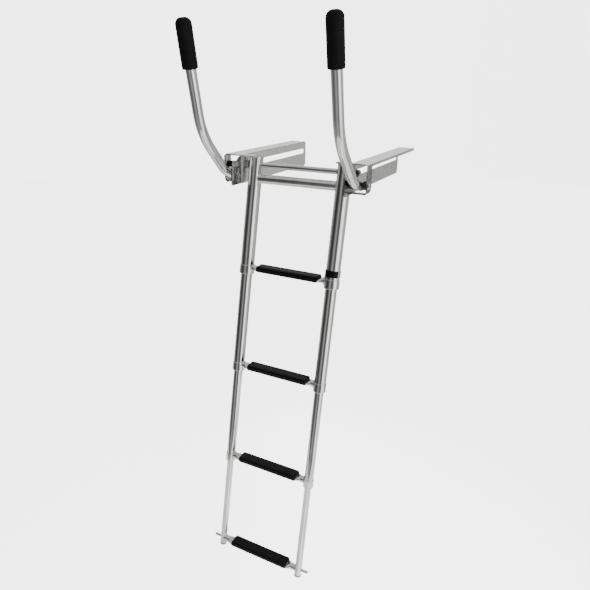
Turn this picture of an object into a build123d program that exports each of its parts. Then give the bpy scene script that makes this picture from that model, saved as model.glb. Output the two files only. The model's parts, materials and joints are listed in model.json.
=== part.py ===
"""Slide-out telescoping boarding ladder for the underside of a swim platform.

Two folded tracks bolt under the platform. A carriage axle slides along a slot in each track
and carries the ladder, which hangs from it as a hinge. The ladder is four telescoping
sections of round tube, each with one rung and tread. Two folding grab handles stand in
brackets at the front of the tracks.

Axes: +X to the right, +Y towards the boat, +Z up, in millimetres. The origin is the centre
of the four mounting holes, on the top face of the mounting flanges.
"""

import os
from math import cos, radians, sin, sqrt

from build123d import *

# --- driving dimensions -----------------------------------------------------------------

rail_spacing = 260.0  # centre to centre of the ladder's two rails
rail_x = rail_spacing / 2
rail_diameters = (38.1, 31.8, 25.4, 19.1)  # section 1 (top) to section 4 (bottom)
tube_wall = 1.2
kick_out = 12.0  # degrees that the hanging ladder leans out from vertical

collar_bottoms = (-300.0, -586.0, -872.0)  # along the rails, from the hinge axle
rail_foot = -1157.5
rail_head = 20.5
collar_length = 25.0
collar_wall = 1.5
collar_lip = 3.0
collar_rounding = 1.4
overlap = 54.0  # length of each section that stays inside the one above
plug_head = 8.0
slide_fit = 0.075  # radial running fit of the nylon guides
clearance = 0.3
bush_fit = 0.06  # radial fit of a pin in its nylon bush

rung_drop = 7.0  # rung axis below the top of its collar
last_rung = -1135.0
rung_radius = 9.5
rung_flat = (16.0, 4.6)  # half width and half height where the rung is flattened
rung_wall = 1.4
tread_length = 186.0
tread_depth = 35.0
tread_height = 18.0
tread_rise = 2.75  # centre of a tread above the axis of its rung

sheet = 3.0  # plate thickness of tracks and brackets
track_length = 394.0
web_inner_x = 155.5
web_outer_x = web_inner_x + sheet
web_height = 76.5
flange_outer_x = 206.0
mount_x = 184.0
mount_pitch_y = 140.0
mount_hole_radius = 4.25

axle_y = -161.0  # hinge axle of the deployed ladder
axle_z = -28.5
axle_radius = 5.0
hinge_bush_radius = 7.0
slot_height = 15.0
slide_travel = 340.0

handle_diameter = 25.4
handle_wall = 1.5
handle_points = ((-20.5, -55.2), (-72.0, -40.0), (-168.0, 62.0), (-215.0, 309.0))
handle_bends = (70.0, 170.0)
handle_pivot = (-30.0, -52.0)  # from the axle in Y, from the flange top in Z
grip_diameter = 38.0
grip_length = 107.0
tube_end_in_grip = 5.0  # the handle tube stops this far short of the grip's top

edge_break = 0.8  # chamfer or rounding of small turned parts
tool_reach = 30.0  # how far a cutting shape runs past the piece it cuts

# --- worked out from them ---------------------------------------------------------------

up_rail = (0, sin(radians(kick_out)), cos(radians(kick_out)))
ladder_plane = Plane(origin=(0, axle_y, axle_z), x_dir=(1, 0, 0), z_dir=up_rail)
sides = ((-1, "left"), (1, "right"))
both_rails = ((-rail_x, 0), (rail_x, 0))


def rail_level(distance):
    """Plane across the rails at a distance along them from the hinge axle."""
    return ladder_plane.offset(distance)


def across(x):
    """Plane at a given X whose own axes are Y and Z, measured from the origin."""
    return Plane.YZ.offset(x)


def rung_plane(x, distance):
    """Level plane at a given X, centred on a rung at a distance along the rails."""
    centre = ladder_plane.origin + Vector(*up_rail) * distance
    return Plane(origin=(x, centre.Y, centre.Z), x_dir=(0, 1, 0), z_dir=(1, 0, 0))


def axle_plane(x):
    """Plane at a given X, centred on the hinge axle."""
    return rung_plane(x, 0)


def rung_distance(section):
    """Where a section's rung sits along the rails, section 1 being the top one."""
    if section == 4:
        return last_rung
    return collar_bottoms[section - 1] + collar_length - rung_drop


def outer_radius(section):
    return rail_diameters[section - 1] / 2


def inner_radius(section):
    return outer_radius(section) - tube_wall


os.makedirs("parts", exist_ok=True)

# --- tracks: flange on top, slotted web below, one folded plate per side ----------------

slot_front = axle_y - slot_height / 2
slot_length = slide_travel + slot_height
track_fold = 2.5  # inner radius of the fold between flange and web
web_far_corner = 12.0
web_near_corner = 4.0
flange_corner = 2.0
lip_drop = 4.0  # the flange's outer edge is turned down this far
lip_front = axle_y - 9.0  # it starts behind the handle bracket

for side, name in sides:
    with BuildPart() as track:
        with BuildSketch(Plane.XZ.offset(-track_length / 2)) as profile:
            with BuildLine():
                Polyline(
                    (side * web_inner_x, 0),
                    (side * flange_outer_x, 0),
                    (side * flange_outer_x, -sheet),
                    (side * web_outer_x, -sheet),
                    (side * web_outer_x, -web_height),
                    (side * web_inner_x, -web_height),
                    close=True,
                )
            make_face()
            outer_fold = profile.vertices().sort_by_distance((side * web_inner_x, 0))[0]
            fillet(outer_fold, radius=track_fold + sheet)
            inner_fold = profile.vertices().sort_by_distance((side * web_outer_x, -sheet))[0]
            fillet(inner_fold, radius=track_fold)
        extrude(amount=track_length)
        far_corner = track.edges().filter_by(Axis.X).group_by(Axis.Z)[0].sort_by(Axis.Y)[-1]
        fillet(far_corner, radius=web_far_corner)
        near_corner = track.edges().filter_by(Axis.X).group_by(Axis.Z)[0].sort_by(Axis.Y)[0]
        fillet(near_corner, radius=web_near_corner)
        with BuildSketch(across(side * (web_inner_x + sheet / 2))):
            with Locations((slot_front + slot_length / 2, axle_z)):
                SlotOverall(slot_length, slot_height)
        extrude(amount=2 * sheet, both=True, mode=Mode.SUBTRACT)
        with Locations((side * mount_x, -mount_pitch_y / 2, 0), (side * mount_x, mount_pitch_y / 2, 0)):
            Hole(radius=mount_hole_radius)
        flange_ends = track.edges().filter_by(Axis.Z).group_by(Axis.X)[-1 if side > 0 else 0]
        fillet(flange_ends, radius=flange_corner)
        with BuildSketch(Plane.XZ.offset(-lip_front)):
            with BuildLine():
                Polyline(
                    (side * flange_outer_x, -sheet / 2),
                    (side * flange_outer_x, -sheet - lip_drop),
                    (side * (flange_outer_x - sheet), -sheet - lip_drop),
                    (side * (flange_outer_x - sheet), -sheet / 2),
                    close=True,
                )
            make_face()
        extrude(amount=lip_front - (track_length / 2 - flange_corner))
    track.part.label = f"track_{name}"
    export_step(track.part, f"parts/track_{name}.step")

# --- rail stops: angles welded inside the webs; the rail heads lean on their lips -------

stop_inner_x = 118.0
stop_points = ((-32, -0.5), (-15, -0.5), (-15, -7.4), (-19, -7.4), (-19, -4), (-32, -4))

with BuildPart() as rail_stops:
    for side, name in sides:
        with BuildSketch(across(side * stop_inner_x)):
            with BuildLine():
                Polyline(*[(axle_y + y, z) for y, z in stop_points], close=True)
            make_face()
        extrude(amount=side * (web_inner_x - stop_inner_x))
rail_stops.part.label = "rail_stops"
export_step(rail_stops.part, "parts/rail_stops.step")

# --- handle brackets: folded U plates under the front of the flanges --------------------

bracket_front = axle_y - 77.0
bracket_back = axle_y - 11.0
bracket_ear_front = axle_y - 41.0  # front edge of the outer leg
bracket_floor_front = axle_y - 25.0  # the floor stops here, so that the handle can fold
ear_inner_x = flange_outer_x - sheet
leg_inner_x = web_outer_x
leg_outer_x = leg_inner_x + sheet
leg_top_drop = 5.0  # the inner leg stops this far below the flange top
leg_slant = (39.0, 29.0)  # how far back, and down to what depth, its front corner is cut
leg_low_rounding = 6.0
floor_margin = 5.0  # floor left standing beside the outer leg
handle_x = (leg_outer_x + ear_inner_x) / 2
fold_radius = 11.0
pivot_y = axle_y + handle_pivot[0]
pivot_z = handle_pivot[1]
pivot_radius = 5.0
stop_post = (axle_y - 53.8, -22.0)
stop_bolt_radius = 4.0

for side, name in sides:
    with BuildPart() as bracket:
        # the long inner leg, with its top front corner cut off at a slant
        with BuildSketch(across(side * leg_inner_x)) as leg_outline:
            with BuildLine():
                Polyline(
                    (bracket_front, -leg_slant[1]),
                    (bracket_front, -web_height),
                    (bracket_back, -web_height),
                    (bracket_back, -leg_top_drop),
                    (bracket_front + leg_slant[0], -leg_top_drop),
                    close=True,
                )
            make_face()
            low_corner = leg_outline.vertices().sort_by_distance((bracket_front, -web_height))[0]
            fillet(low_corner, radius=leg_low_rounding)
        extrude(amount=side * sheet)
        # the floor and the shorter outer leg, folded from one strip
        with BuildSketch(Plane.XZ.offset(-bracket_back)) as strip:
            with BuildLine():
                Polyline(
                    (side * leg_inner_x, -web_height),
                    (side * flange_outer_x, -web_height),
                    (side * flange_outer_x, -sheet),
                    (side * ear_inner_x, -sheet),
                    (side * ear_inner_x, -web_height + sheet),
                    (side * leg_inner_x, -web_height + sheet),
                    close=True,
                )
            make_face()
            outer_fold = strip.vertices().sort_by_distance((side * flange_outer_x, -web_height))[0]
            fillet(outer_fold, radius=fold_radius + sheet)
            inner_corner = (side * ear_inner_x, -web_height + sheet)
            inner_fold = strip.vertices().sort_by_distance(inner_corner)[0]
            fillet(inner_fold, radius=fold_radius)
        extrude(amount=bracket_back - bracket_ear_front)
        # the floor is cut back, so that the handle can fold down past it
        with BuildSketch(Plane.XY.offset(-web_height)):
            with BuildLine():
                Polyline(
                    (side * leg_outer_x, bracket_ear_front),
                    (side * (ear_inner_x - floor_margin), bracket_ear_front),
                    (side * (ear_inner_x - floor_margin), bracket_floor_front),
                    (side * leg_outer_x, bracket_floor_front),
                    close=True,
                )
            make_face()
        extrude(amount=2 * fold_radius, mode=Mode.SUBTRACT)
        with BuildSketch(across(0)):
            with Locations((pivot_y, pivot_z)):
                Circle(pivot_radius)
            with Locations(stop_post):
                Circle(stop_bolt_radius)
        extrude(amount=side * (flange_outer_x + tool_reach), mode=Mode.SUBTRACT)
    bracket.part.label = f"handle_bracket_{name}"
    export_step(bracket.part, f"parts/handle_bracket_{name}.step")

# --- handle pivots and stops ------------------------------------------------------------

washer_thickness = 1.5
pivot_washer_radius = 10.5
pin_head_radius = 8.5
pin_head_height = 3.5
pin_head_x = flange_outer_x + washer_thickness

with BuildPart() as handle_pivot_pins:
    for side, name in sides:
        with BuildSketch(across(side * leg_inner_x)):
            with Locations((pivot_y, pivot_z)):
                Circle(pivot_radius)
        extrude(amount=side * (pin_head_x - leg_inner_x))
        with BuildSketch(across(side * pin_head_x)):
            with Locations((pivot_y, pivot_z)):
                Circle(pin_head_radius)
        extrude(amount=side * pin_head_height)
    head_rims = handle_pivot_pins.edges().filter_by(GeomType.CIRCLE).group_by(Axis.X)
    fillet(head_rims[0] + head_rims[-1], radius=0.7 * pin_head_height)
handle_pivot_pins.part.label = "handle_pivot_pins"
export_step(handle_pivot_pins.part, "parts/handle_pivot_pins.step")

with BuildPart() as handle_pivot_washers:
    for side, name in sides:
        with BuildSketch(across(side * flange_outer_x)):
            with Locations((pivot_y, pivot_z)):
                Circle(pivot_washer_radius)
                Circle(pivot_radius, mode=Mode.SUBTRACT)
        extrude(amount=side * washer_thickness)
handle_pivot_washers.part.label = "handle_pivot_washers"
export_step(handle_pivot_washers.part, "parts/handle_pivot_washers.step")

post_length = 17.0
shoulder = 5.0  # steel washer face between the leg and the bumper
shoulder_radius = 8.5
stop_nut_height = 4.5
stop_nut_half_width = 6.5
stop_head_height = 4.0
stop_head_radius = 5.5
bumper_radius = 8.0
bumper_cap = 2.0  # rubber in front of the bolt head
post_end_x = leg_outer_x + post_length
bolt_end_x = leg_inner_x - stop_nut_height - clearance

with BuildPart() as handle_stop_bolts:
    for side, name in sides:
        with BuildSketch(across(side * bolt_end_x)):
            with Locations(stop_post):
                Circle(stop_bolt_radius)
        extrude(amount=side * (post_end_x - bolt_end_x))
        with BuildSketch(across(side * leg_outer_x)):
            with Locations(stop_post):
                Circle(shoulder_radius)
        extrude(amount=side * shoulder)
        with BuildSketch(across(side * post_end_x)):
            with Locations(stop_post):
                Circle(stop_head_radius)
        extrude(amount=side * stop_head_height)
    chamfer(handle_stop_bolts.edges().group_by(Axis.X)[0], length=edge_break)
    chamfer(handle_stop_bolts.edges().group_by(Axis.X)[-1], length=edge_break)
handle_stop_bolts.part.label = "handle_stop_bolts"
export_step(handle_stop_bolts.part, "parts/handle_stop_bolts.step")

with BuildPart() as handle_stop_nuts:
    for side, name in sides:
        with BuildSketch(across(side * leg_inner_x)):
            with Locations(stop_post):
                RegularPolygon(radius=stop_nut_half_width, side_count=6, major_radius=False)
                Circle(stop_bolt_radius, mode=Mode.SUBTRACT)
        extrude(amount=-side * stop_nut_height)
handle_stop_nuts.part.label = "handle_stop_nuts"
export_step(handle_stop_nuts.part, "parts/handle_stop_nuts.step")

with BuildPart() as handle_stop_bumpers:
    for side, name in sides:
        with BuildSketch(across(side * (leg_outer_x + shoulder))):
            with Locations(stop_post):
                Circle(bumper_radius)
        extrude(amount=side * (post_length - shoulder + stop_head_height + bumper_cap))
    fillet(handle_stop_bumpers.edges().filter_by(GeomType.CIRCLE), radius=edge_break)
    add(handle_stop_bolts.part, mode=Mode.SUBTRACT)
handle_stop_bumpers.part.label = "handle_stop_bumpers"
export_step(handle_stop_bumpers.part, "parts/handle_stop_bumpers.step")

# --- carriage: the axle and what slides with it -----------------------------------------

axle_washer = 2.0
axle_nut = 10.0
nut_hexagon = 7.5  # the rest of the lock nut's height is its round nylon ring
nut_ring_radius = 7.6
nut_half_width = 8.5
washer_radius = 10.5
roller_flange_radius = 11.0
washer_x = web_outer_x + clearance
nut_x = washer_x + axle_washer
rod_half_length = nut_x + axle_nut + axle_washer

with BuildPart() as axle_rod:
    with BuildSketch(axle_plane(-rod_half_length)):
        Circle(axle_radius)
    extrude(amount=2 * rod_half_length)
    chamfer(axle_rod.edges().filter_by(GeomType.CIRCLE), length=edge_break)
axle_rod.part.label = "axle_rod"
export_step(axle_rod.part, "parts/axle_rod.step")

sleeve_half_length = rail_x - outer_radius(1) - clearance

with BuildPart() as axle_sleeve:
    with BuildSketch(axle_plane(-sleeve_half_length)):
        Circle(slot_height / 2)
        Circle(axle_radius, mode=Mode.SUBTRACT)
    extrude(amount=2 * sleeve_half_length)
axle_sleeve.part.label = "axle_sleeve"
export_step(axle_sleeve.part, "parts/axle_sleeve.step")

roller_flange_x = rail_x + outer_radius(1) + clearance
roller_face_x = web_inner_x - clearance

with BuildPart() as slot_rollers:
    for side, name in sides:
        with BuildSketch(axle_plane(side * roller_flange_x)):
            Circle(roller_flange_radius)
            Circle(axle_radius, mode=Mode.SUBTRACT)
        extrude(amount=side * (roller_face_x - roller_flange_x))
        with BuildSketch(axle_plane(side * roller_face_x)):
            Circle(slot_height / 2 - slide_fit)
            Circle(axle_radius, mode=Mode.SUBTRACT)
        extrude(amount=side * (washer_x - roller_face_x))
slot_rollers.part.label = "slot_rollers"
export_step(slot_rollers.part, "parts/slot_rollers.step")

with BuildPart() as axle_washers:
    for side, name in sides:
        with BuildSketch(axle_plane(side * washer_x)):
            Circle(washer_radius)
            Circle(axle_radius, mode=Mode.SUBTRACT)
        extrude(amount=side * axle_washer)
axle_washers.part.label = "axle_washers"
export_step(axle_washers.part, "parts/axle_washers.step")

with BuildPart() as axle_nuts:
    for side, name in sides:
        with BuildSketch(axle_plane(side * nut_x)):
            RegularPolygon(radius=nut_half_width, side_count=6, major_radius=False)
            Circle(axle_radius, mode=Mode.SUBTRACT)
        extrude(amount=side * nut_hexagon)
        with BuildSketch(axle_plane(side * (nut_x + nut_hexagon))):
            Circle(nut_ring_radius)
            Circle(axle_radius, mode=Mode.SUBTRACT)
        extrude(amount=side * (axle_nut - nut_hexagon))
axle_nuts.part.label = "axle_nuts"
export_step(axle_nuts.part, "parts/axle_nuts.step")

# --- rails: the tube pairs of the four sections -----------------------------------------

plug_spigot = 12.0
foot_height = 5.0
foot_rim = 0.8
foot_rounding = 2.0
stow_pin_radius = 4.0
stow_pin_inner_x = 110.0
stow_pin_outer_x = 160.0

for section in (1, 2, 3, 4):
    if section == 1:
        tube_top = rail_head
    else:
        tube_top = collar_bottoms[section - 2] + overlap - plug_head
    if section == 4:
        tube_bottom = rail_foot + foot_height
    else:
        tube_bottom = collar_bottoms[section - 1] + collar_lip
    for side, name in sides:
        with BuildPart() as rail:
            with BuildSketch(rail_level(tube_bottom)):
                with Locations((side * rail_x, 0)):
                    Circle(outer_radius(section))
                    Circle(inner_radius(section), mode=Mode.SUBTRACT)
            extrude(amount=tube_top - tube_bottom)
            if section == 1:
                with BuildSketch(axle_plane(side * (rail_x - tool_reach))):
                    Circle(hinge_bush_radius)
                extrude(amount=side * 2 * tool_reach, mode=Mode.SUBTRACT)
            if section == 4:
                with BuildSketch(rung_plane(side * stow_pin_inner_x, last_rung)):
                    Circle(stow_pin_radius)
                extrude(amount=side * (stow_pin_outer_x - stow_pin_inner_x), mode=Mode.SUBTRACT)
        rail.part.label = f"rail_{section}_{name}"
        export_step(rail.part, f"parts/rail_{section}_{name}.step")

# --- rail caps and hinge bushes of the top section --------------------------------------

cap_depth = 9.0
cap_rim = 1.0
cap_rounding = 0.6

with BuildPart() as rail_caps:
    with BuildSketch(rail_level(rail_head - cap_depth)):
        with Locations(both_rails):
            Circle(inner_radius(1))
    extrude(amount=cap_depth)
    with BuildSketch(rail_level(rail_head)):
        with Locations(both_rails):
            Circle(outer_radius(1) - cap_rounding)
    extrude(amount=cap_rim)
    top_rims = rail_caps.edges().filter_by(GeomType.CIRCLE).sort_by(Axis.Z)[-2:]
    fillet(top_rims, radius=cap_rounding)
    # room for the hinge bush that crosses the tube just below
    with BuildSketch(axle_plane(-rail_x - tool_reach)):
        Circle(hinge_bush_radius + clearance)
    extrude(amount=2 * (rail_x + tool_reach), mode=Mode.SUBTRACT)
rail_caps.part.label = "rail_caps"
export_step(rail_caps.part, "parts/rail_caps.step")

with BuildPart() as hinge_bushes:
    for side, name in sides:
        with BuildSketch(axle_plane(side * (rail_x - outer_radius(1)))):
            Circle(hinge_bush_radius)
            Circle(axle_radius + bush_fit, mode=Mode.SUBTRACT)
        extrude(amount=side * 2 * outer_radius(1))
hinge_bushes.part.label = "hinge_bushes"
export_step(hinge_bushes.part, "parts/hinge_bushes.step")

# --- cross tube: braces the two rails just below the hinge ------------------------------

cross_tube_distance = -36.0
cross_tube_radius = 12.7

with BuildPart() as cross_tube:
    with BuildSketch(rung_plane(-rail_x, cross_tube_distance)):
        Circle(cross_tube_radius)
        Circle(cross_tube_radius - tube_wall, mode=Mode.SUBTRACT)
    extrude(amount=rail_spacing)
    with BuildSketch(rail_level(cross_tube_distance - tool_reach)):
        with Locations(both_rails):
            Circle(outer_radius(1))
    extrude(amount=2 * tool_reach, mode=Mode.SUBTRACT)
cross_tube.part.label = "cross_tube"
export_step(cross_tube.part, "parts/cross_tube.step")

# --- collars, and the nylon guides that the next section runs in ------------------------

for section in (1, 2, 3):
    bottom = collar_bottoms[section - 1]
    with BuildPart() as collars:
        with BuildSketch(rail_level(bottom)):
            with Locations(both_rails):
                Circle(outer_radius(section) + collar_wall)
        extrude(amount=collar_length)
        fillet(collars.edges().filter_by(GeomType.CIRCLE), radius=collar_rounding)
        with BuildSketch(rail_level(bottom)):
            with Locations(both_rails):
                Circle(outer_radius(section + 1) + 2 * clearance)
        extrude(amount=collar_length, mode=Mode.SUBTRACT)
        with BuildSketch(rail_level(bottom + collar_lip)):
            with Locations(both_rails):
                Circle(outer_radius(section))
        extrude(amount=collar_length, mode=Mode.SUBTRACT)
    collars.part.label = f"collars_{section}"
    export_step(collars.part, f"parts/collars_{section}.step")

    with BuildPart() as guides:
        with BuildSketch(rail_level(bottom + collar_lip)):
            with Locations(both_rails):
                Circle(inner_radius(section))
                Circle(outer_radius(section + 1) + slide_fit, mode=Mode.SUBTRACT)
        extrude(amount=overlap - plug_head - clearance - collar_lip)
    guides.part.label = f"guide_bushes_{section}"
    export_step(guides.part, f"parts/guide_bushes_{section}.step")

# --- glide plugs: close the top of each inner section and run inside the outer one ------

for section in (2, 3, 4):
    plug_bottom = collar_bottoms[section - 2] + overlap - plug_head
    with BuildPart() as plugs:
        with BuildSketch(rail_level(plug_bottom - plug_spigot)):
            with Locations(both_rails):
                Circle(inner_radius(section))
        extrude(amount=plug_spigot)
        with BuildSketch(rail_level(plug_bottom)):
            with Locations(both_rails):
                Circle(inner_radius(section - 1) - slide_fit)
        extrude(amount=plug_head)
        chamfer(plugs.edges().filter_by(GeomType.CIRCLE).sort_by(Axis.Z)[-2:], length=edge_break)
    plugs.part.label = f"glide_plugs_{section}"
    export_step(plugs.part, f"parts/glide_plugs_{section}.step")

# --- rungs and treads -------------------------------------------------------------------

tread_half = tread_length / 2
flat_end = tread_half + 2  # the flattened middle of a rung runs just past its tread
round_start = flat_end + 12
tread_nose = 5.0
tread_end_rounding = 1.5

for section in (1, 2, 3, 4):
    distance = rung_distance(section)
    rail_cut = outer_radius(section) + (collar_wall if section < 4 else 0)
    with BuildPart() as rung:
        for wall, mode in ((0, Mode.ADD), (rung_wall, Mode.SUBTRACT)):
            flat = (rung_flat[0] - wall, rung_flat[1] - wall)
            for side, name in sides:
                with BuildSketch(rung_plane(side * round_start, distance)):
                    Ellipse(rung_radius - wall, rung_radius - wall)
                extrude(amount=side * (rail_x - round_start), mode=mode)
                with BuildSketch(rung_plane(side * flat_end, distance)):
                    Ellipse(*flat)
                with BuildSketch(rung_plane(side * round_start, distance)):
                    Ellipse(rung_radius - wall, rung_radius - wall)
                loft(mode=mode)
            with BuildSketch(rung_plane(-flat_end, distance)):
                Ellipse(*flat)
            extrude(amount=2 * flat_end, mode=mode)
        with BuildSketch(rail_level(distance - tool_reach)):
            with Locations(both_rails):
                Circle(rail_cut)
        extrude(amount=2 * tool_reach, mode=Mode.SUBTRACT)
    rung.part.label = f"rung_{section}"
    export_step(rung.part, f"parts/rung_{section}.step")

    with BuildPart() as tread:
        with BuildSketch(rung_plane(-tread_half, distance)):
            with Locations((0, tread_rise)):
                RectangleRounded(tread_depth, tread_height, radius=tread_nose)
        extrude(amount=tread_length)
        rims = tread.faces().filter_by(Axis.X).edges()
        fillet(rims, radius=tread_end_rounding)
        with BuildSketch(rung_plane(-tread_half, distance)):
            Ellipse(*rung_flat)
        extrude(amount=tread_length, mode=Mode.SUBTRACT)
    tread.part.label = f"tread_{section}"
    export_step(tread.part, f"parts/tread_{section}.step")

# --- stow pins and foot plugs of the bottom section -------------------------------------

with BuildPart() as stow_pins:
    for side, name in sides:
        with BuildSketch(rung_plane(side * stow_pin_inner_x, last_rung)):
            Circle(stow_pin_radius)
        extrude(amount=side * (stow_pin_outer_x - stow_pin_inner_x))
    pin_ends = stow_pins.edges().filter_by(GeomType.CIRCLE).group_by(Axis.X)
    chamfer(pin_ends[0] + pin_ends[-1], length=edge_break)
stow_pins.part.label = "stow_pins"
export_step(stow_pins.part, "parts/stow_pins.step")

with BuildPart() as foot_plugs:
    with BuildSketch(rail_level(rail_foot)):
        with Locations(both_rails):
            Circle(outer_radius(4) + foot_rim)
    extrude(amount=foot_height)
    fillet(foot_plugs.edges().filter_by(GeomType.CIRCLE).group_by(Axis.Z)[0], radius=foot_rounding)
    with BuildSketch(rail_level(rail_foot + foot_height)):
        with Locations(both_rails):
            Circle(inner_radius(4))
    extrude(amount=plug_spigot)
foot_plugs.part.label = "foot_plugs"
export_step(foot_plugs.part, "parts/foot_plugs.step")

# --- stow strap: rubber band clipped round the right rail, open at the outer side -------

strap_low = -269.0
strap_height = 18.0
strap_wall = 1.5
strap_opening = 60.0  # degrees left open, centred on the outer side of the rail

with BuildPart() as stow_strap:
    with BuildSketch(rail_level(strap_low)) as band:
        with Locations((rail_x, 0)):
            Circle(outer_radius(1) + strap_wall)
            Circle(outer_radius(1), mode=Mode.SUBTRACT)
        reach = 2 * rail_diameters[0]
        half_gap = reach * sin(radians(strap_opening / 2))
        with BuildLine():
            Polyline(
                (rail_x, 0),
                (rail_x + reach, half_gap),
                (rail_x + reach, -half_gap),
                close=True,
            )
        make_face(mode=Mode.SUBTRACT)
    extrude(amount=strap_height)
stow_strap.part.label = "stow_strap"
export_step(stow_strap.part, "parts/stow_strap.step")

# --- grab handles -----------------------------------------------------------------------

path_points = [(axle_y + y, z) for y, z in handle_points]
tip_y, tip_z = path_points[-1]
lean_y = tip_y - path_points[-2][0]
lean_z = tip_z - path_points[-2][1]
straight = sqrt(lean_y**2 + lean_z**2)
lean = (0, lean_y / straight, lean_z / straight)
spacer_gap = (ear_inner_x - leg_outer_x - handle_diameter) / 2
spacer_radius = 11.0
spacer_lap = 1.0  # the spacers reach this far past the tube's side and are hollowed to fit it
grip_dome = 13.0
grip_base_rounding = 3.5

for side, name in sides:
    with BuildPart() as handle:
        with BuildLine(across(side * handle_x)) as path:
            FilletPolyline(*path_points, radius=handle_bends)
        start = path.line @ 0
        start_direction = path.line % 0
        with BuildSketch(Plane(origin=start, x_dir=(1, 0, 0), z_dir=start_direction)):
            Circle(handle_diameter / 2)
            Circle(handle_diameter / 2 - handle_wall, mode=Mode.SUBTRACT)
        sweep()
        with BuildSketch(across(side * (handle_x - tool_reach))):
            with Locations((pivot_y, pivot_z)):
                Circle(hinge_bush_radius)
        extrude(amount=side * 2 * tool_reach, mode=Mode.SUBTRACT)
    handle.part.label = f"handle_{name}"
    export_step(handle.part, f"parts/handle_{name}.step")

    with BuildPart() as bush:
        with BuildSketch(across(side * (leg_outer_x + clearance))):
            with Locations((pivot_y, pivot_z)):
                Circle(hinge_bush_radius)
                Circle(pivot_radius + bush_fit, mode=Mode.SUBTRACT)
        extrude(amount=side * (ear_inner_x - leg_outer_x - 2 * clearance))
    bush.part.label = f"handle_bush_{name}"
    export_step(bush.part, f"parts/handle_bush_{name}.step")

    with BuildPart() as spacers:
        for start_x in (leg_outer_x + clearance, handle_x + handle_diameter / 2 - spacer_lap):
            with BuildSketch(across(side * start_x)):
                with Locations((pivot_y, pivot_z)):
                    Circle(spacer_radius)
                    Circle(hinge_bush_radius, mode=Mode.SUBTRACT)
            extrude(amount=side * (spacer_gap - clearance + spacer_lap))
        # the inner faces are hollowed to sit on the round tube
        with BuildSketch(Plane(origin=start, x_dir=(1, 0, 0), z_dir=start_direction)):
            Circle(handle_diameter / 2)
        extrude(amount=2 * tool_reach, both=True, mode=Mode.SUBTRACT)
    spacers.part.label = f"handle_spacers_{name}"
    export_step(spacers.part, f"parts/handle_spacers_{name}.step")

    tip = Vector(side * handle_x, tip_y, tip_z)
    grip_base = tip - Vector(*lean) * (grip_length - tube_end_in_grip)
    with BuildPart() as grip:
        with BuildSketch(Plane(origin=grip_base, x_dir=(1, 0, 0), z_dir=lean)):
            Circle(grip_diameter / 2)
        extrude(amount=grip_length)
        ends = grip.edges().filter_by(GeomType.CIRCLE).sort_by(Axis.Z)
        fillet(ends[-1], radius=grip_dome)
        fillet(ends[0], radius=grip_base_rounding)
        with BuildSketch(Plane(origin=tip, x_dir=(1, 0, 0), z_dir=lean)):
            Circle(handle_diameter / 2)
        extrude(amount=-grip_length, mode=Mode.SUBTRACT)
    grip.part.label = f"grip_{name}"
    export_step(grip.part, f"parts/grip_{name}.step")
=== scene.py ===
"""Looks of the telescoping boarding ladder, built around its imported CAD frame.

Everything is in metres in the row frame: +X right, +Y towards the boat, +Z up. The frame
holds the metalwork. This script gives each CAD node its material, replaces the treads and
the grips with detailed pieces, and adds the weld beads. Then it stages the picture.
"""

import json
import math

import bmesh
import bpy
from mathutils import Matrix, Vector

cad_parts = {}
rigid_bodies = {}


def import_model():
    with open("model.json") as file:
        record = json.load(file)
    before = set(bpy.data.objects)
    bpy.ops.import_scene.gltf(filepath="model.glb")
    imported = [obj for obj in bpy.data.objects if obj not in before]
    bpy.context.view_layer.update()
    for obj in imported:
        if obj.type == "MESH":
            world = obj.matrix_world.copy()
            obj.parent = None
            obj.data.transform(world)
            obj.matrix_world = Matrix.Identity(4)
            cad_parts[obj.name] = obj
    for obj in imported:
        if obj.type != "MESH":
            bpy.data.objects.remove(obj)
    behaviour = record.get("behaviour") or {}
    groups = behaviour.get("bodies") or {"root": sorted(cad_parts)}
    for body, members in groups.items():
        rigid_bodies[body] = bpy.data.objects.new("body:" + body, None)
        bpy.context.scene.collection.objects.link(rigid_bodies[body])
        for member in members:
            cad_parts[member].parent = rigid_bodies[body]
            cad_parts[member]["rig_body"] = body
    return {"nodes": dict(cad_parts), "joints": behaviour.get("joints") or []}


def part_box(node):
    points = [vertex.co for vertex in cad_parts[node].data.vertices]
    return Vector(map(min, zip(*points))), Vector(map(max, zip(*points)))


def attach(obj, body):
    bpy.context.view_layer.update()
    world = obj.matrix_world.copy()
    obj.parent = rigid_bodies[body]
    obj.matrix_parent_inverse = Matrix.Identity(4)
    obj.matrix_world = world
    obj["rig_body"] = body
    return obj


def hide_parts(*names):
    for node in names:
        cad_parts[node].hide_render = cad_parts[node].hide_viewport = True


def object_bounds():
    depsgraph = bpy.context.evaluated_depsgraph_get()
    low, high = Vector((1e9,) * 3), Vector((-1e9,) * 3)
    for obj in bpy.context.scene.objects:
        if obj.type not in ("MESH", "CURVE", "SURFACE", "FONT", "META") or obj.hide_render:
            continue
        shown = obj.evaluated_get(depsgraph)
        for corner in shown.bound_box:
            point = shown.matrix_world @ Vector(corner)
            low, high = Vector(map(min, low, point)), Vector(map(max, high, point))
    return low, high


SIDES = ((-1, "left"), (1, "right"))
SECTIONS = (1, 2, 3, 4)

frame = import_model()
cad_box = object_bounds()
nodes = frame["nodes"]
joints = {joint["name"]: joint for joint in frame["joints"]}


# --- shader helpers ---------------------------------------------------------------------


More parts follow.
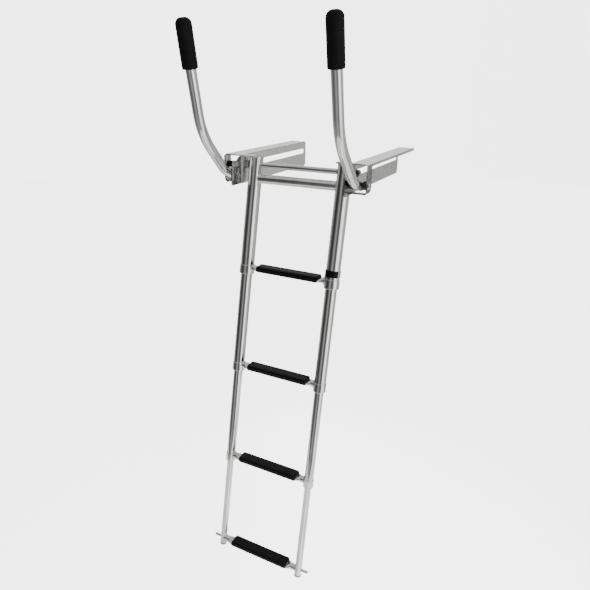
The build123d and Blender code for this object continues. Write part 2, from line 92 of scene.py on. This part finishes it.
class Graph:
    """A node tree under construction: nodes, links and a few common chains."""

    def __init__(self, tree):
        self.tree = tree

    def node(self, kind, inputs=None, **settings):
        made = self.tree.nodes.new(kind)
        for name, value in settings.items():
            setattr(made, name, value)
        for key, value in (inputs or {}).items():
            self.feed(made.inputs[key], value)
        return made

    def feed(self, socket, value):
        """Links a socket to another node's output, or sets it to a constant."""
        if isinstance(value, bpy.types.NodeSocket):
            self.tree.links.new(value, socket)
        else:
            socket.default_value = value

    def noise(self, vector, scale, detail=3.0, roughness=0.5):
        inputs = {"Vector": vector, "Scale": scale, "Detail": detail, "Roughness": roughness}
        return self.node("ShaderNodeTexNoise", inputs).outputs["Fac"]

    def ramp(self, factor, stops):
        """A colour ramp from (position, colour) stops."""
        made = self.node("ShaderNodeValToRGB", {"Fac": factor})
        elements = made.color_ramp.elements
        while len(elements) < len(stops):
            elements.new(0.5)
        for element, (position, colour) in zip(elements, stops):
            element.position = position
            element.color = (*colour, 1)
        return made.outputs["Color"]

    def spread(self, factor, low, high, start=0.0, end=1.0, **settings):
        """Maps the span from start to end onto the span from low to high."""
        inputs = {
            "Value": factor, "From Min": start, "From Max": end, "To Min": low, "To Max": high,
        }
        return self.node("ShaderNodeMapRange", inputs, **settings).outputs["Result"]

    def math(self, operation, first, second):
        made = self.node("ShaderNodeMath", {0: first, 1: second}, operation=operation)
        return made.outputs["Value"]

    def dot(self, first, second):
        inputs = {0: first, 1: second}
        made = self.node("ShaderNodeVectorMath", inputs, operation="DOT_PRODUCT")
        return made.outputs["Value"]


class Shader(Graph):
    """A material under construction."""

    def __init__(self, name):
        self.material = bpy.data.materials.new(name)
        self.material.use_nodes = True
        super().__init__(self.material.node_tree)
        self.surface = self.tree.nodes["Principled BSDF"]

    def set(self, **values):
        for name, value in values.items():
            self.feed(self.surface.inputs[name.replace("_", " ")], value)

    def place(self, scale=(1, 1, 1), turn=(0, 0, 0)):
        """Object coordinates, stretched and turned."""
        coordinates = self.node("ShaderNodeTexCoord").outputs["Object"]
        inputs = {"Vector": coordinates, "Scale": scale, "Rotation": turn}
        return self.node("ShaderNodeMapping", inputs).outputs["Vector"]

    def blend(self, factor, tones, start, end):
        """A colour that goes from the first tone to the second between start and end."""
        return self.ramp(factor, ((start, tones[0]), (end, tones[1])))

    def bump(self, height, strength, distance, under=None):
        """A normal raised by a height, on top of another bump where one is given."""
        inputs = {"Height": height, "Strength": strength, "Distance": distance}
        if under is not None:
            inputs["Normal"] = under
        return self.node("ShaderNodeBump", inputs).outputs["Normal"]


# --- materials --------------------------------------------------------------------------

# the darker and the paler tone that each material blends
TUBE_TONES = ((0.62, 0.62, 0.605), (0.78, 0.78, 0.76))
PLATE_TONES = ((0.62, 0.62, 0.595), (0.87, 0.87, 0.84))
# painted shade: the bracket's tones are darker than the steel, a painted reflection of the shaded
# rail beside it
BRACKET_PAINTED_SHADE_TONES = ((0.20, 0.20, 0.19), (0.50, 0.50, 0.48))
FASTENER_TONES = ((0.40, 0.40, 0.39), (0.60, 0.60, 0.59))
WELD_TONES = ((0.50, 0.49, 0.47), (0.70, 0.70, 0.69))
GREY_NYLON_TONES = ((0.30, 0.30, 0.29), (0.42, 0.42, 0.41))
BLACK_NYLON_TONES = ((0.003, 0.003, 0.003), (0.009, 0.009, 0.009))
RUBBER_TONES = ((0.0015, 0.0015, 0.0016), (0.006, 0.006, 0.0065))
FOAM_TONES = ((0.0025, 0.0025, 0.0027), (0.0065, 0.0065, 0.007))
PAPER_TONES = ((0.90, 0.90, 0.90), (0.92, 0.92, 0.92))

# painted light: the thinner sections get a little brighter copy of the tube colour, standing in
# for the brighter reflections they show
SECTION_PAINTED_BRIGHTNESS = {1: 1.0, 2: 1.0, 3: 1.04, 4: 1.08}


def polished_tube(name, grain_turn, tone):
    """Mirror-polished tube: faint lengthwise polishing lines and smears left by the mop."""
    shader = Shader(name)
    lines = shader.noise(
        shader.place(scale=(420, 420, 3), turn=grain_turn), scale=1.0, detail=4.0, roughness=0.6
    )
    smears = shader.noise(
        shader.place(scale=(1, 1, 0.35), turn=grain_turn), scale=38.0, detail=4.0, roughness=0.6
    )
    specks = shader.noise(shader.place(), scale=900.0, detail=2.0)
    # a tone above 1 brightens the tube colour as painted light
    tones = [tuple(channel * tone for channel in colour) for colour in TUBE_TONES]
    line_roughness = shader.spread(lines, low=0.03, high=0.10, start=0.3, end=0.7)
    smear_roughness = shader.spread(smears, low=0.0, high=0.05, start=0.4, end=0.8)
    speck_bump = shader.bump(specks, strength=0.03, distance=0.0001)
    shader.set(
        Base_Color=shader.blend(smears, tones, start=0.3, end=0.7),
        Metallic=1.0,
        Roughness=shader.math("ADD", line_roughness, smear_roughness),
        Normal=shader.bump(lines, strength=0.10, distance=0.0002, under=speck_bump),
    )
    return shader.material


def satin_plate(name):
    """Electropolished sheet: soft mottling, a fine rolled grain along Y and small scuffs."""
    shader = Shader(name)
    grain = shader.noise(shader.place(scale=(600, 5, 600)), scale=1.0, detail=3.0, roughness=0.6)
    mottle = shader.noise(shader.place(), scale=55.0, detail=5.0, roughness=0.65)
    scuffs = shader.noise(
        shader.place(scale=(30, 160, 30), turn=(0, 0, 0.3)), scale=1.0, detail=6.0, roughness=0.7
    )
    mottle_roughness = shader.spread(mottle, low=0.24, high=0.36, start=0.3, end=0.7)
    scuff_roughness = shader.spread(scuffs, low=0.0, high=0.12, start=0.55, end=0.8)
    mottle_bump = shader.bump(mottle, strength=0.05, distance=0.001)
    shader.set(
        Base_Color=shader.blend(mottle, PLATE_TONES, start=0.25, end=0.75),
        Metallic=1.0,
        Roughness=shader.math("ADD", mottle_roughness, scuff_roughness),
        Normal=shader.bump(grain, strength=0.12, distance=0.0002, under=mottle_bump),
    )
    return shader.material


def polished_plate(name):
    """Folded plate polished by hand: uneven mirror, with painted shade for the dark rail it
    mirrors, in random blotches.
    """
    shader = Shader(name)
    waves = shader.noise(shader.place(), scale=34.0, detail=3.0, roughness=0.5)
    stain = shader.noise(shader.place(), scale=75.0, detail=5.0, roughness=0.65)
    scratches = shader.noise(
        shader.place(scale=(40, 700, 700), turn=(0.4, 0, 0)), scale=1.0, detail=3.0, roughness=0.6
    )
    scratch_bump = shader.bump(scratches, strength=0.1, distance=0.0002)
    shader.set(
        # painted shade: the stain noise blends two tones darkened to stand in for the dark rail
        # that the bracket mirrors
        Base_Color=shader.blend(stain, BRACKET_PAINTED_SHADE_TONES, start=0.3, end=0.7),
        Metallic=1.0,
        Roughness=shader.spread(stain, low=0.06, high=0.22, start=0.3, end=0.75),
        Normal=shader.bump(waves, strength=0.7, distance=0.004, under=scratch_bump),
    )
    return shader.material


def turned_steel(name):
    """Fasteners: plain bright steel with fine turning marks round the X axis."""
    shader = Shader(name)
    rings = shader.noise(shader.place(scale=(900, 60, 60)), scale=1.0, detail=2.0)
    stain = shader.noise(shader.place(), scale=160.0, detail=4.0, roughness=0.6)
    shader.set(
        Base_Color=shader.blend(stain, FASTENER_TONES, start=0.3, end=0.7),
        Metallic=1.0,
        Roughness=shader.spread(stain, low=0.18, high=0.34, start=0.3, end=0.7),
        Normal=shader.bump(rings, strength=0.15, distance=0.0002),
    )
    return shader.material


def weld_steel(name):
    """Weld beads: rippled, slightly heat-tinted after cleaning."""
    shader = Shader(name)
    ripple = shader.noise(shader.place(), scale=420.0, detail=3.0)
    tint = shader.noise(shader.place(), scale=90.0, detail=3.0)
    shader.set(
        Base_Color=shader.blend(tint, WELD_TONES, start=0.3, end=0.7),
        Metallic=1.0,
        Roughness=shader.spread(tint, low=0.20, high=0.34, start=0.3, end=0.7),
        Normal=shader.bump(ripple, strength=0.25, distance=0.0004),
    )
    return shader.material


def moulded_nylon(name, tones):
    """Moulded plastic: an even fine grain with slight shade differences."""
    shader = Shader(name)
    grain = shader.noise(shader.place(), scale=1400.0, detail=2.0)
    shade = shader.noise(shader.place(), scale=70.0, detail=3.0)
    shader.set(
        Base_Color=shader.blend(shade, tones, start=0.3, end=0.7),
        Roughness=shader.spread(shade, low=0.38, high=0.52, start=0.3, end=0.7),
        Normal=shader.bump(grain, strength=0.2, distance=0.0001),
    )
    return shader.material


def tread_rubber(name):
    """Black moulded rubber: matt pebble grain, paler where the ribs are rubbed."""
    shader = Shader(name)
    grain = shader.noise(shader.place(), scale=1100.0, detail=3.0, roughness=0.6)
    wear = shader.noise(shader.place(), scale=85.0, detail=5.0, roughness=0.7)
    shader.set(
        Base_Color=shader.blend(wear, RUBBER_TONES, start=0.35, end=0.8),
        Roughness=shader.spread(wear, low=0.42, high=0.60, start=0.3, end=0.7),
        Specular_IOR_Level=0.16,
        Normal=shader.bump(grain, strength=0.35, distance=0.0002),
    )
    return shader.material


def grip_foam(name):
    """Black closed-cell foam: an open skin of tiny cells, soft and matt."""
    shader = Shader(name)
    place = shader.place()
    voronoi = shader.node("ShaderNodeTexVoronoi", {"Vector": place, "Scale": 1300.0})
    cells = voronoi.outputs["Distance"]
    lumps = shader.noise(place, scale=260.0, detail=4.0, roughness=0.65)
    shade = shader.noise(place, scale=60.0, detail=4.0, roughness=0.6)
    lump_bump = shader.bump(lumps, strength=0.35, distance=0.0008)
    shader.set(
        Base_Color=shader.blend(shade, FOAM_TONES, start=0.3, end=0.75),
        Roughness=shader.spread(cells, low=0.82, high=0.66, start=0.0, end=0.6),
        Specular_IOR_Level=0.14,
        Sheen_Weight=0.02,
        Sheen_Roughness=0.45,
        Normal=shader.bump(cells, strength=0.3, distance=0.0003, under=lump_bump),
    )
    return shader.material


ladder_up = Vector(joints["section_2_slide"]["axis"]).normalized()
rail_turn = (math.atan2(ladder_up.y, ladder_up.z), 0, 0)
cross_turn = (0, math.pi / 2, 0)

# painted light: the lower sections' rails get brighter copies of one tube material
materials = {
    f"rail_{section}": polished_tube(f"polished_tube_{section}", rail_turn, tone)
    for section, tone in SECTION_PAINTED_BRIGHTNESS.items()
}
materials |= {
    "across": polished_tube("polished_cross_tube", cross_turn, tone=1.0),
    "handle": polished_tube("polished_handle", (0, 0, 0), tone=1.0),
    "plate": satin_plate("satin_plate"),
    "bracket": polished_plate("polished_plate"),
    "fastener": turned_steel("turned_steel"),
    "weld": weld_steel("weld_steel"),
    "nylon": moulded_nylon("grey_nylon", GREY_NYLON_TONES),
    "black_nylon": moulded_nylon("black_nylon", BLACK_NYLON_TONES),
    "rubber": tread_rubber("tread_rubber"),
    "foam": grip_foam("grip_foam"),
}

# a node takes the finish of the first start that its name has, and grey nylon otherwise
FINISH_BY_START = (
    ("rail_caps", "black_nylon"), ("rail_stops", "plate"),
    ("rail_1", "rail_1"), ("rail_2", "rail_2"), ("rail_3", "rail_3"), ("rail_4", "rail_4"),
    ("collars_1", "rail_1"), ("collars_2", "rail_2"), ("collars_3", "rail_3"),
    ("rung", "across"), ("cross_tube", "across"), ("axle_sleeve", "across"),
    ("stow_pins", "across"),
    ("handle_left", "handle"), ("handle_right", "handle"),
    ("track", "plate"), ("handle_bracket", "bracket"),
    ("handle_pivot", "fastener"), ("handle_stop_bolts", "fastener"),
    ("handle_stop_nuts", "fastener"), ("handle_stop_bumpers", "rubber"),
    ("handle_spacers", "black_nylon"), ("handle_bush", "fastener"),
    ("axle_rod", "fastener"), ("axle_washers", "fastener"), ("axle_nuts", "fastener"),
    ("foot_plugs", "nylon"),
    ("tread", "rubber"), ("stow_strap", "rubber"), ("grip", "foam"),
)

for name, node in nodes.items():
    finish = next((look for start, look in FINISH_BY_START if name.startswith(start)), "nylon")
    node.data.materials.clear()
    node.data.materials.append(materials[finish])


# --- mesh helpers -----------------------------------------------------------------------


def piece(name, bm, material, body):
    """Turns a bmesh into a smooth piece of the object that rides on a body."""
    bmesh.ops.recalc_face_normals(bm, faces=bm.faces)
    mesh = bpy.data.meshes.new(name)
    bm.to_mesh(mesh)
    bm.free()
    for polygon in mesh.polygons:
        polygon.use_smooth = True
    mesh.materials.append(materials[material])
    made = bpy.data.objects.new(name, mesh)
    bpy.context.scene.collection.objects.link(made)
    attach(made, body)
    return made


def body_of(node):
    return nodes[node]["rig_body"]


def middle(box):
    return (box[0] + box[1]) / 2


def skin(bm, rings):
    """Joins rings of points, each with the same count, into a skin with closed ends."""
    rows = [[bm.verts.new(point) for point in ring] for ring in rings]
    for first, second in zip(rows, rows[1:]):
        for i in range(len(first)):
            j = (i + 1) % len(first)
            bm.faces.new((first[i], first[j], second[j], second[i]))
    bm.faces.new(reversed(rows[0]))
    bm.faces.new(rows[-1])


# --- treads -----------------------------------------------------------------------------

TREAD_COLUMNS = 220  # mesh columns along a tread
TOP_COLUMNS = 26  # mesh columns across its top
TREAD_NOSE = 0.0050  # radius of the long edges
NOSE_STEPS = 6
TREAD_END_ROUNDING = 0.0030
RIB_HEIGHT = 0.0009
RIB_PITCH = 0.0085
RIB_SLANT = 0.9  # how far the ribs run along the tread for each metre across it
RIB_STEEPNESS = 1.8
RIB_MARGIN = 0.6 * TREAD_NOSE  # bare strip along the long edges
RIB_FADE = 0.003  # where the ribs sink away beside it
RIBLESS_SHRINK = 0.0004  # the rounded ends have no ribs once they shrink by this much
TOUCH = 1e-6


def tread_outline(half_depth, half_height):
    """Rounded-rectangle outline in Y and Z, closely spaced on top where the ribs are."""
    corner = TREAD_NOSE
    points = []
    for k in range(TOP_COLUMNS + 1):
        y = (half_depth - corner) * (2 * k / TOP_COLUMNS - 1)
        points.append((-y, half_height))
    arcs = ((-1, 1, 90), (-1, -1, 180), (1, -1, 270), (1, 1, 0))
    for side_y, side_z, first in arcs:
        for k in range(1, NOSE_STEPS + 1):
            angle = math.radians(first + 90 * k / NOSE_STEPS)
            y = side_y * (half_depth - corner) + corner * math.cos(angle)
            z = side_z * (half_height - corner) + corner * math.sin(angle)
            closes_the_loop = side_y == side_z == 1 and k == NOSE_STEPS
            if not closes_the_loop:
                points.append((y, z))
    return points


def rib(x, y, half_depth):
    """Height of the diagonal non-slip ribs at a point on a tread's top."""
    wave = math.sin(2 * math.pi * (x + RIB_SLANT * y) / RIB_PITCH)
    edge = min(1.0, max(0.0, (half_depth - RIB_MARGIN - abs(y)) / RIB_FADE))
    return RIB_HEIGHT * max(0.0, min(1.0, 0.5 + RIB_STEEPNESS * wave)) * edge


def build_tread(section):
    """A tread cover with rounded ends and ribs on top, in place of the CAD tread."""
    name = f"tread_{section}"
    low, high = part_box(name)
    centre, half = middle((low, high)), (high - low) / 2
    crown = half.z - RIB_HEIGHT
    rings = []
    for i in range(TREAD_COLUMNS + 1):
        x = half.x * (2 * i / TREAD_COLUMNS - 1)
        inset = max(0.0, abs(x) - (half.x - TREAD_END_ROUNDING))
        shrink = TREAD_END_ROUNDING - math.sqrt(max(0.0, TREAD_END_ROUNDING**2 - inset**2))
        ribbed = shrink < RIBLESS_SHRINK
        ring = []
        for y, z in tread_outline(half.y - shrink, crown - shrink):
            on_top = z > crown - shrink - TOUCH
            lift = rib(x, y, half.y) if on_top and ribbed else 0.0
            ring.append((centre.x + x, centre.y + y, centre.z + z + lift))
        rings.append(ring)
    bm = bmesh.new()
    skin(bm, rings)
    made = piece(f"tread_cover_{section}", bm, "rubber", body_of(name))
    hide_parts(name)


for section in SECTIONS:
    build_tread(section)


# --- weld beads -------------------------------------------------------------------------

RUNG_RADIUS = 0.0095
BEAD_RADIUS = 0.0015
BEAD_SINK = 0.0004  # how far a bead bites into the rail
BEAD_STEPS = 96
BEAD_SIDES = 8
BEAD_RIPPLES = 22
BEAD_RIPPLE_DEPTH = 0.16

rail_x = middle(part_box("rail_1_right")).x
ladder_out = Vector((0, ladder_up.z, -ladder_up.y))


def build_weld(name, side, centre, tube_radius, rail_radius, body):
    """A rippled bead round a cross piece, laid in the saddle where it meets a rail or collar."""
    bm = bmesh.new()
    loops = []
    for k in range(BEAD_STEPS):
        # the saddle: where the cross piece's wall meets the rail's round side
        angle = 2 * math.pi * k / BEAD_STEPS
        across = tube_radius * math.cos(angle)
        saddle = rail_x - math.sqrt(rail_radius**2 - across**2) - BEAD_SINK
        outward = ladder_out * math.cos(angle) + ladder_up * math.sin(angle)
        place = Vector((side * saddle, centre.y, centre.z)) + outward * tube_radius
        ripple = 1 + BEAD_RIPPLE_DEPTH * math.cos(BEAD_RIPPLES * angle)
        thickness = BEAD_RADIUS * ripple
        loop = []
        for j in range(BEAD_SIDES):
            turn = 2 * math.pi * j / BEAD_SIDES
            offset = outward * math.cos(turn) + Vector((side * math.sin(turn), 0, 0))
            loop.append(bm.verts.new(place + offset * thickness))
        loops.append(loop)
    for first, second in zip(loops, loops[1:] + loops[:1]):
        for j in range(BEAD_SIDES):
            k = (j + 1) % BEAD_SIDES
            bm.faces.new((first[j], first[k], second[k], second[j]))
    piece(name, bm, "weld", body)


def outer_radius(node):
    """Outer radius of a rail, or of the collars on the rails."""
    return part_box(node)[1].x - rail_x


for section in SECTIONS:
    rung = f"rung_{section}"
    seat_radius = outer_radius("rail_4_right" if section == 4 else f"collars_{section}")
    rung_centre = middle(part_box(rung))
    for side, name in SIDES:
        build_weld(
            f"rung_weld_{section}_{name}",
            side, rung_centre, RUNG_RADIUS, seat_radius, body_of(rung),
        )

cross_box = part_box("cross_tube")
cross_radius = (cross_box[1].z - cross_box[0].z) / 2
for side, name in SIDES:
    build_weld(
        f"cross_weld_{name}",
        side, middle(cross_box), cross_radius, outer_radius("rail_1_right"),
        body_of("cross_tube"),
    )


# --- foam grips -------------------------------------------------------------------------

GRIP_AROUND = 64  # mesh columns round a grip
GRIP_ALONG = 90  # even mesh rows along it
GRIP_DIAMETER = 0.038
GRIP_PLAY = 0.0002  # keeps the foam inside the CAD grip's outline
GRIP_FOOT = 0.0035  # rounding at the lower end
GRIP_FOOT_STEPS = 6
GRIP_DOME = 0.0145  # rounding at the upper end
GRIP_DOME_STEPS = 12
GRIP_TIP_RADIUS = 0.0003
TUBE_RADIUS = 0.0127
RIM_TOLERANCE = 1e-4


def grip_frame(node):
    """Direction, foot and length of a grip's axis, from its CAD solid."""
    points = [v.co for v in nodes[node].data.vertices]
    low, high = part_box(node)
    # the points furthest right lie in the plane of the axis and line up along it
    edge = [p for p in points if abs(p.x - high.x) < RIM_TOLERANCE]
    top, foot = max(edge, key=lambda p: p.z), min(edge, key=lambda p: p.z)
    along = Vector((0, top.y - foot.y, top.z - foot.z)).normalized()
    axis_point = Vector(((low.x + high.x) / 2, foot.y, foot.z))
    levels = [(p - axis_point).dot(along) for p in points]
    return along, axis_point + along * min(levels), max(levels) - min(levels)


def grip_radius(along, length, radius):
    """Outer radius at a distance along a grip: rounded foot, straight sides, domed top."""
    for rounding, distance in ((GRIP_FOOT, along), (GRIP_DOME, length - along)):
        if distance < rounding:
            gap = rounding - distance
            return radius - rounding + math.sqrt(max(0.0, rounding**2 - gap**2))
    return radius


def grip_distances(length):
    """Where the rings of a grip lie along it: even, and closer at the foot and the dome."""
    distances = [length * k / GRIP_ALONG for k in range(GRIP_ALONG + 1)]
    distances += [GRIP_FOOT * k / GRIP_FOOT_STEPS for k in range(1, GRIP_FOOT_STEPS)]
    for k in range(1, GRIP_DOME_STEPS):
        angle = math.pi / 2 * k / GRIP_DOME_STEPS
        distances.append(length - GRIP_DOME * (1 - math.cos(angle)))
    return sorted({round(distance, 6) for distance in distances})


def build_grip(name):
    """A foam grip on the end of a handle, in place of the CAD grip."""
    node = f"grip_{name}"
    along, foot, length = grip_frame(node)
    radius = GRIP_DIAMETER / 2 - GRIP_PLAY
    outward = Vector((1, 0, 0))
    forward = along.cross(outward)
    profile = [(TUBE_RADIUS, 0.0)]
    profile += [(grip_radius(at, length, radius), at) for at in grip_distances(length)]
    profile += [(GRIP_TIP_RADIUS, length)]
    rings = []
    for ring_radius, distance in profile:
        ring = []
        for k in range(GRIP_AROUND):
            angle = 2 * math.pi * k / GRIP_AROUND
            offset = outward * math.cos(angle) + forward * math.sin(angle)
            ring.append(foot + along * distance + offset * ring_radius)
        rings.append(ring)
    bm = bmesh.new()
    skin(bm, rings)
    made = piece(f"foam_grip_{name}", bm, "foam", body_of(node))
    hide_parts(node)


for _, name in SIDES:
    build_grip(name)


# --- camera -----------------------------------------------------------------------------

# the camera stands in front, to the right and above, and looks down at the ladder
CAMERA_PLACE = (0.6492, -1.2895, 0.1881)  # Y counts from the hinge axle
VIEW = Vector((-0.4220, 0.8278, -0.3696))
PICTURE_RIGHT = Vector((0.8896, 0.4566, 0.0070))
SENSOR_MM = 36.0
LENS_MM = 33.0773

scene = bpy.context.scene


def add_camera():
    data = bpy.data.cameras.new("camera")
    data.sensor_width = SENSOR_MM
    data.lens = LENS_MM
    camera = bpy.data.objects.new("camera", data)
    scene.collection.objects.link(camera)
    axle_y = joints["ladder_hinge"]["pos_m"][1]
    position = Vector((0, axle_y, 0)) + Vector(CAMERA_PLACE)
    back = -VIEW.normalized()
    right = (PICTURE_RIGHT - PICTURE_RIGHT.dot(back) * back).normalized()
    turn = Matrix((right, back.cross(right), back)).transposed().to_4x4()
    camera.matrix_world = Matrix.Translation(position) @ turn
    scene.camera = camera


# --- floor, backdrop and reflected sheet ------------------------------------------------

FLOOR_DROP = 0.30  # below the ladder's foot
DOME_RADIUS = 9.0
DOME_SEGMENTS = 96
DOME_RINGS = 48
BACKDROP_GLOW = 3.6  # a brighter backdrop eats the edges of thin dark parts

SHEET_DROP = 0.10  # below the ladder's foot
SHEET_RADIUS = 1.25
SHEET_SEGMENTS = 64
SHEET_LIGHT = 2.0
SHEET_UNEVENNESS = 0.04
SHEET_BANDS = (  # brightness across the sheet, from its left to its right
    (0.00, 0.40), (0.22, 0.34), (0.36, 0.38), (0.44, 0.26), (0.50, 0.40), (0.56, 0.95),
    (0.66, 0.90), (0.78, 0.50), (1.00, 0.55),
)


def paper(name):
    """Matt paper without highlights, to be given its colour and its glow."""
    shader = Shader(name)
    shader.set(Roughness=0.9, Specular_IOR_Level=0.0)
    return shader


def disc(segments, radius, centre):
    bm = bmesh.new()
    bmesh.ops.create_circle(bm, cap_ends=True, segments=segments, radius=radius)
    bmesh.ops.translate(bm, vec=centre, verts=bm.verts)
    return bm


def stage_object(name, bm, material, lights=False):
    """A staging object that casts no shadow.

    Only the camera sees it, so it doesn't light the ladder. One that lights is the other way
    round: the ladder reflects it and the camera doesn't see it.
    """
    mesh = bpy.data.meshes.new(name)
    bm.to_mesh(mesh)
    bm.free()
    mesh.materials.append(material)
    made = bpy.data.objects.new(name, mesh)
    scene.collection.objects.link(made)
    made.visible_camera = not lights
    made.visible_diffuse = lights
    made.visible_glossy = lights
    made.visible_shadow = False


def add_floor_and_backdrop():
    """A pale floor, and a dome of the same paper round it."""
    shader = paper("pale_paper")
    speckle = shader.noise(shader.place(), scale=30.0, detail=3.0)
    shader.set(
        Base_Color=shader.blend(speckle, PAPER_TONES, start=0.3, end=0.7),
        Emission_Color=(1.0, 1.0, 1.0, 1.0),
        Emission_Strength=BACKDROP_GLOW,
    )
    centre = (0, 0, cad_box[0].z - FLOOR_DROP)
    stage_object("floor", disc(DOME_SEGMENTS, DOME_RADIUS, centre), shader.material)
    bm = bmesh.new()
    bmesh.ops.create_uvsphere(
        bm, u_segments=DOME_SEGMENTS, v_segments=DOME_RINGS, radius=DOME_RADIUS
    )
    bmesh.ops.translate(bm, vec=centre, verts=bm.verts)
    stage_object("backdrop", bm, shader.material)


def add_reflected_paper():
    """The lit sheet under the ladder, in bands, that its lower sections mirror."""
    shader = paper("reflected_paper")
    foot = middle(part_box("foot_plugs"))
    place = shader.place()
    across = PICTURE_RIGHT.xy.normalized()
    sideways = shader.dot(place, (across.x, across.y, 0))
    centre = foot.xy.dot(across)
    half = SHEET_RADIUS / 2
    share = shader.spread(sideways, low=0.0, high=1.0, start=centre - half, end=centre + half)
    waver = shader.spread(
        shader.noise(place, scale=7.0), low=-SHEET_UNEVENNESS, high=SHEET_UNEVENNESS
    )
    stops = [(position, (brightness,) * 3) for position, brightness in SHEET_BANDS]
    shader.set(
        Base_Color=(0.5, 0.5, 0.5, 1.0),
        Emission_Color=shader.ramp(shader.math("ADD", share, waver), stops),
        Emission_Strength=SHEET_LIGHT,
    )
    bm = disc(SHEET_SEGMENTS, SHEET_RADIUS, (foot.x, foot.y, cad_box[0].z - SHEET_DROP))
    stage_object("reflected_paper", bm, shader.material, lights=True)


# --- light ------------------------------------------------------------------------------

# what the polished tubes reflect, by bearing from the camera: (degrees to the right, brightness)
STUDIO_RING = (
    (-180, 1.40), (-168, 1.20), (-156, 0.30), (-146, 0.25), (-132, 0.55), (-106, 0.22),
    (-84, 0.06), (-62, 0.05), (-44, 0.18), (-30, 0.42), (-20, 0.40), (-9, 0.15),
    (6, 0.13), (17, 0.22), (29, 1.60), (42, 3.00), (55, 2.30), (76, 0.80),
    (98, 0.48), (122, 0.80), (138, 0.28), (154, 0.22), (165, 1.30), (180, 1.40),
)
STUDIO_PEAK = 3.0
# towards the floor and the ceiling, the ring fades into an even light between two heights
EVEN_LIGHTS = (
    {"brightness": 0.60, "begins": -0.08, "full": -0.60, "share": 0.42},
    {"brightness": 0.80, "begins": 0.40, "full": 0.80, "share": 0.85},
)


def studio_grey(brightness):
    return (brightness / STUDIO_PEAK,) * 3


def add_studio():
    """World light: flags and soft boxes in a ring round the ladder, over a pale floor."""
    world = bpy.data.worlds.new("studio")
    scene.world = world
    world.use_nodes = True
    graph = Graph(world.node_tree)
    direction = graph.node("ShaderNodeTexCoord").outputs["Generated"]
    towards = Vector((-VIEW.x, -VIEW.y, 0)).normalized()
    across = Vector((-towards.y, towards.x, 0))
    ahead, aside = graph.dot(direction, towards), graph.dot(direction, across)
    bearing = graph.math("ARCTAN2", aside, ahead)
    share = graph.spread(bearing, low=0.0, high=1.0, start=-math.pi, end=math.pi)
    stops = [((degrees + 180) / 360, studio_grey(light)) for degrees, light in STUDIO_RING]
    shade = graph.ramp(share, stops)
    height = graph.node("ShaderNodeSeparateXYZ", {"Vector": direction}).outputs["Z"]
    for light in EVEN_LIGHTS:
        amount = graph.spread(
            height, low=0.0, high=light["share"], start=light["begins"], end=light["full"],
            interpolation_type="SMOOTHSTEP",
        )
        even = (*studio_grey(light["brightness"]), 1)
        inputs = {"Fac": amount, "Color1": shade, "Color2": even}
        shade = graph.node("ShaderNodeMixRGB", inputs).outputs["Color"]
    background = graph.tree.nodes["Background"]
    graph.feed(background.inputs["Color"], shade)
    graph.feed(background.inputs["Strength"], STUDIO_PEAK)


add_camera()
add_floor_and_backdrop()
add_reflected_paper()
add_studio()
